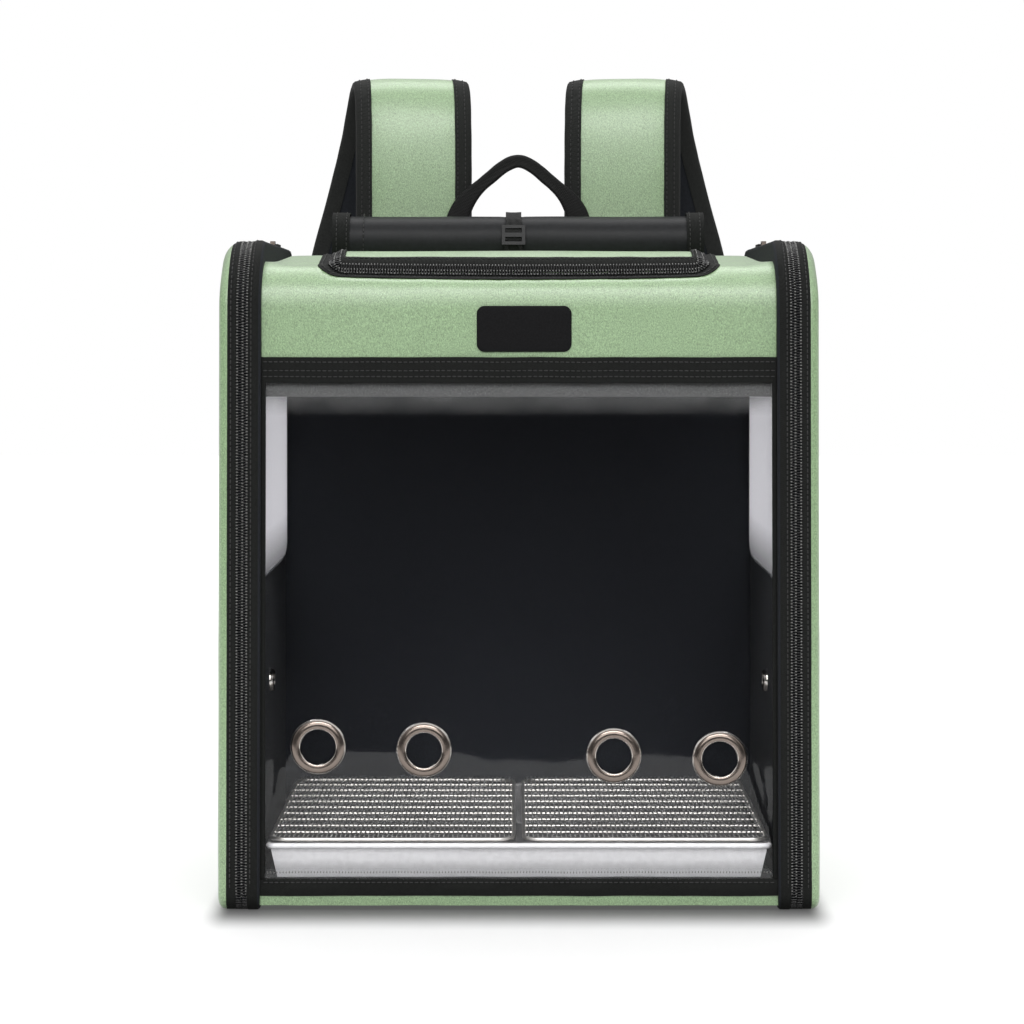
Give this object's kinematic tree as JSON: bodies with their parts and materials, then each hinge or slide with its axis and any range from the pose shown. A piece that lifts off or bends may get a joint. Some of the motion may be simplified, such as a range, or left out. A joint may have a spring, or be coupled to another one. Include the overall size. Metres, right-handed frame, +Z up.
{
  "type": "bird travel carrier backpack",
  "caption": "Soft-sided bird carrier backpack with a clear window, zipped side doors and top door, rolled shade, carry handle, shoulder straps, steel tray and wire grates.",
  "frame": {"origin": "on the floor, at the middle of the box round the whole object, straps included", "axes": "+Z up, -Y towards the side that has the clear window, +X to the right of a person who faces the window"},
  "size_m": [0.3468, 0.3361, 0.5039],
  "materials": {
    "green_fabric": "woven melange",
    "black_fabric": "plain lining",
    "black_tape": "ribbed tape",
    "zip_coil": "coil teeth",
    "clear_film": "clear vinyl",
    "grey_strip": "smoked vinyl",
    "nickel": "polished nickel",
    "steel": "bright wire and sheet",
    "air_mesh": "spacer mesh",
    "webbing": "woven webbing",
    "hard_plastic": "moulded",
    "patch_rubber": "smooth",
    "shade_cloth": "smooth nylon"
  },
  "bodies": {
    "bag": {"back_panel": "black_fabric", "back_padding": "air_mesh", "base_panel": "green_fabric", "front_sill": "black_tape", "top_panel": "green_fabric", "header_tape": "black_tape", "window_panel": "clear_film", "window_strip": "grey_strip", "window_bindings": "black_tape", "window_eyelets": "nickel", "eyelet_washers": "nickel", "blank_patch": "patch_rubber", "left_side_frame": "black_fabric", "right_side_frame": "black_fabric", "left_frame_coil": "zip_coil", "right_frame_coil": "zip_coil", "top_frame_tape": "black_tape", "top_frame_coil": "zip_coil", "shade_roll": "shade_cloth", "shade_end_bindings": "black_tape", "shade_tie": "webbing", "tie_buckle": "hard_plastic", "left_shoulder_strap": "green_fabric", "right_shoulder_strap": "green_fabric", "left_strap_webbing": "webbing", "right_strap_webbing": "webbing", "left_ladder_lock": "hard_plastic", "right_ladder_lock": "hard_plastic", "left_anchor_tab": "black_tape", "right_anchor_tab": "black_tape"},
    "left_door": {"left_door_panel": "green_fabric", "left_door_tape": "black_tape", "left_door_coil": "zip_coil", "left_door_window": "clear_film", "left_window_binding": "black_tape", "left_perch_eyelet": "nickel", "left_hinge_tape": "black_tape"},
    "right_door": {"right_door_panel": "green_fabric", "right_door_tape": "black_tape", "right_door_coil": "zip_coil", "right_door_window": "clear_film", "right_window_binding": "black_tape", "right_perch_eyelet": "nickel", "right_hinge_tape": "black_tape"},
    "top_door": {"top_door_panel": "green_fabric", "top_door_tape": "black_tape", "top_door_coil": "zip_coil", "top_hinge_tape": "black_tape"},
    "left_slider": {"left_zip_slider": "nickel"},
    "left_pull": {"left_zip_pull": "hard_plastic"},
    "right_slider": {"right_zip_slider": "nickel"},
    "right_pull": {"right_zip_pull": "hard_plastic"},
    "top_slider": {"top_zip_slider": "nickel"},
    "top_pull": {"top_zip_pull": "hard_plastic"},
    "handle": {"carry_handle": "webbing"},
    "tray_body": {"tray": "steel"},
    "left_grate_body": {"left_grate": "steel"},
    "right_grate_body": {"right_grate": "steel"}
  },
  "joints": [
    {"name": "left_door_hinge", "type": "hinge", "parent": "bag", "child": "left_door", "pos_m": [-0.1585, 0.0935, 0.19], "axis": [0, 0, -1], "range_deg": [0, 110]},
    {"name": "right_door_hinge", "type": "hinge", "parent": "bag", "child": "right_door", "pos_m": [0.1585, 0.0935, 0.19], "axis": [0, 0, 1], "range_deg": [0, 110]},
    {"name": "top_door_hinge", "type": "hinge", "parent": "bag", "child": "top_door", "pos_m": [0, -0.004, 0.375], "axis": [-1, 0, 0], "range_deg": [0, 90]},
    {"name": "left_zip_slide", "type": "slide", "parent": "bag", "child": "left_slider", "axis": [0, -1, 0], "range_m": [0, 0.17]},
    {"name": "left_pull_hinge", "type": "hinge", "parent": "left_slider", "child": "left_pull", "pos_m": [-0.1585, 0.04955, 0.38975], "axis": [1, 0, 0], "range_deg": [0, 150]},
    {"name": "right_zip_slide", "type": "slide", "parent": "bag", "child": "right_slider", "axis": [0, -1, 0], "range_m": [0, 0.17]},
    {"name": "right_pull_hinge", "type": "hinge", "parent": "right_slider", "child": "right_pull", "pos_m": [0.1585, 0.04955, 0.38975], "axis": [1, 0, 0], "range_deg": [0, 150]},
    {"name": "top_zip_slide", "type": "slide", "parent": "bag", "child": "top_slider", "axis": [0, -1, 0], "range_m": [0, 0.13]},
    {"name": "top_pull_hinge", "type": "hinge", "parent": "top_slider", "child": "top_pull", "pos_m": [0.107, 0.00555, 0.38095], "axis": [1, 0, 0], "range_deg": [0, 150]},
    {"name": "handle_fold", "type": "hinge", "parent": "bag", "child": "handle", "pos_m": [0, 0.0845, 0.3753], "axis": [1, 0, 0], "range_deg": [0, 30]},
    {"name": "tray_lift", "type": "slide", "parent": "bag", "child": "tray_body", "axis": [0, 0, 1], "range_m": [0, 0.1]},
    {"name": "left_grate_lift", "type": "slide", "parent": "tray_body", "child": "left_grate_body", "axis": [0, 0, 1], "range_m": [0, 0.15]},
    {"name": "right_grate_lift", "type": "slide", "parent": "tray_body", "child": "right_grate_body", "axis": [0, 0, 1], "range_m": [0, 0.15]}
  ]
}
